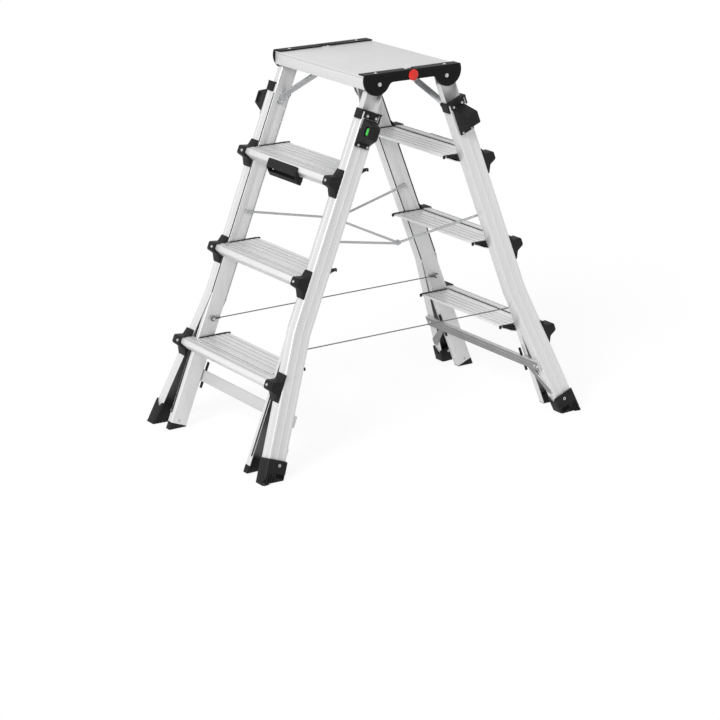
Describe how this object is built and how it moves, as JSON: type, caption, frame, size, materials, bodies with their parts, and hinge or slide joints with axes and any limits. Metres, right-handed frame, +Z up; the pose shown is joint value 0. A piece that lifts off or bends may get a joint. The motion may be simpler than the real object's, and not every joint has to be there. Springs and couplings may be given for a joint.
{
  "type": "trestle ladder",
  "caption": "Folding double-sided trestle ladder with a flat platform, telescoping aluminium legs, half treads, spreader wires and flared feet.",
  "frame": {"origin": "on the ground under the centre of the platform", "axes": "+X from side a to side b, across the two climbing sides; +Y along the treads, towards the far end; +Z up"},
  "size_m": [0.965, 0.5594, 0.9266],
  "materials": {
    "aluminium": "brushed satin extrusion",
    "black_plastic": "matt moulding",
    "zinc_steel": "zinc plated",
    "fasteners": "bright",
    "green_lens": "gloss",
    "red_disc": "gloss",
    "cord": "thin stranded cord"
  },
  "bodies": {
    "platform": {"deck": "aluminium", "cheek_near": "black_plastic", "cheek_far": "black_plastic", "badge_disc": "red_disc", "cheek_screws": "fasteners", "pivot_bolts": "fasteners", "stay_tracks": "zinc_steel", "safety_cords": "cord"},
    "frame_a": {"inner_rail_a_near": "aluminium", "inner_rail_a_far": "aluminium", "rear_tread_a_upper": "aluminium", "rear_tread_a_middle": "aluminium", "rear_tread_a_lower": "aluminium", "rear_tread_caps_a": "black_plastic", "rail_end_caps_a": "black_plastic", "upper_rivets_a": "fasteners"},
    "extension_a": {"outer_rail_a_near": "aluminium", "outer_rail_a_far": "aluminium", "front_tread_a_upper": "aluminium", "front_tread_a_middle": "aluminium", "front_tread_a_lower": "aluminium", "tread_brackets_a": "black_plastic", "guide_collars_a": "black_plastic", "lock_housings_a": "black_plastic", "lock_indicators_a": "green_lens", "lower_rivets_a": "fasteners", "foot_caps_a": "black_plastic", "rear_bracing_a": "aluminium"},
    "handle_a": {"release_handle_a": "black_plastic"},
    "bolt_a_near": {"lock_bolt_a_near": "zinc_steel"},
    "bolt_a_far": {"lock_bolt_a_far": "zinc_steel"},
    "stays_a": {"stays_a": "zinc_steel"},
    "frame_b": {"inner_rail_b_near": "aluminium", "inner_rail_b_far": "aluminium", "rear_tread_b_upper": "aluminium", "rear_tread_b_middle": "aluminium", "rear_tread_b_lower": "aluminium", "rear_tread_caps_b": "black_plastic", "rail_end_caps_b": "black_plastic", "upper_rivets_b": "fasteners"},
    "extension_b": {"outer_rail_b_near": "aluminium", "outer_rail_b_far": "aluminium", "front_tread_b_upper": "aluminium", "front_tread_b_middle": "aluminium", "front_tread_b_lower": "aluminium", "tread_brackets_b": "black_plastic", "guide_collars_b": "black_plastic", "lock_housings_b": "black_plastic", "lock_indicators_b": "green_lens", "lower_rivets_b": "fasteners", "foot_caps_b": "black_plastic", "rear_bracing_b": "aluminium"},
    "handle_b": {"release_handle_b": "black_plastic"},
    "bolt_b_near": {"lock_bolt_b_near": "zinc_steel"},
    "bolt_b_far": {"lock_bolt_b_far": "zinc_steel"},
    "stays_b": {"stays_b": "zinc_steel"},
    "bow": {"spreader_bow": "zinc_steel"},
    "arms": {"spreader_arms": "zinc_steel"}
  },
  "joints": [
    {"name": "fold_a", "type": "hinge", "parent": "platform", "child": "frame_a", "pos_m": [-0.0975, 0, 0.9005], "axis": [0, -1, 0], "range_deg": [0, 21.45], "deforming": ["safety_cords"]},
    {"name": "fold_b", "type": "hinge", "parent": "platform", "child": "frame_b", "pos_m": [0.0975, 0, 0.9005], "axis": [0, 1, 0], "range_deg": [0, 21.45]},
    {"name": "extend_a", "type": "slide", "parent": "frame_a", "child": "extension_a", "axis": [-0.3657, 0, -0.9307], "range_m": [0, 0.5]},
    {"name": "stays_swing_a", "type": "hinge", "parent": "frame_a", "child": "stays_a", "pos_m": [-0.13699, 0, 0.79998], "axis": [0, 1, 0], "range_deg": [0, 14.49]},
    {"name": "handle_pull_a", "type": "hinge", "parent": "extension_a", "child": "handle_a", "pos_m": [-0.23839, 0, 0.69101], "axis": [0, 1, 0], "range_deg": [0, 12], "stiffness_Nm_per_rad": 1, "springref_deg": -10},
    {"name": "bolt_slide_a_near", "type": "slide", "parent": "extension_a", "child": "bolt_a_near", "axis": [0, -1, 0], "range_m": [0, 0.0111]},
    {"name": "bolt_slide_a_far", "type": "slide", "parent": "extension_a", "child": "bolt_a_far", "axis": [0, 1, 0], "range_m": [0, 0.0111]},
    {"name": "extend_b", "type": "slide", "parent": "frame_b", "child": "extension_b", "axis": [0.3657, 0, -0.9307], "range_m": [0, 0.5]},
    {"name": "stays_swing_b", "type": "hinge", "parent": "frame_b", "child": "stays_b", "pos_m": [0.13699, 0, 0.79998], "axis": [0, -1, 0], "range_deg": [0, 14.49]},
    {"name": "handle_pull_b", "type": "hinge", "parent": "extension_b", "child": "handle_b", "pos_m": [0.23839, 0, 0.69101], "axis": [0, -1, 0], "range_deg": [0, 12], "stiffness_Nm_per_rad": 1, "springref_deg": -10},
    {"name": "bolt_slide_b_near", "type": "slide", "parent": "extension_b", "child": "bolt_b_near", "axis": [0, -1, 0], "range_m": [0, 0.0111]},
    {"name": "bolt_slide_b_far", "type": "slide", "parent": "extension_b", "child": "bolt_b_far", "axis": [0, 1, 0], "range_m": [0, 0.0111]},
    {"name": "bow_swing", "type": "hinge", "parent": "frame_a", "child": "bow", "pos_m": [-0.24122, 0, 0.53472], "axis": [0, -1, 0], "range_deg": [0, 56.14]},
    {"name": "arms_swing", "type": "hinge", "parent": "bow", "child": "arms", "pos_m": [0, 0, 0.488], "axis": [0, 1, 0], "range_deg": [0, 155.17]}
  ],
  "couplings": [
    {"joint": "fold_b", "follows": "fold_a", "ratio": 1},
    {"joint": "stays_swing_a", "follows": "fold_a", "ratio": 0.675},
    {"joint": "bolt_slide_a_near", "follows": "handle_pull_a", "m_per_rad": 0.05252},
    {"joint": "bolt_slide_a_far", "follows": "handle_pull_a", "m_per_rad": 0.05252},
    {"joint": "stays_swing_b", "follows": "fold_a", "ratio": 0.675},
    {"joint": "bolt_slide_b_near", "follows": "handle_pull_b", "m_per_rad": 0.05252},
    {"joint": "bolt_slide_b_far", "follows": "handle_pull_b", "m_per_rad": 0.05252},
    {"joint": "bow_swing", "follows": "fold_a", "ratio": 2.6169},
    {"joint": "arms_swing", "follows": "fold_a", "ratio": 7.2337}
  ]
}
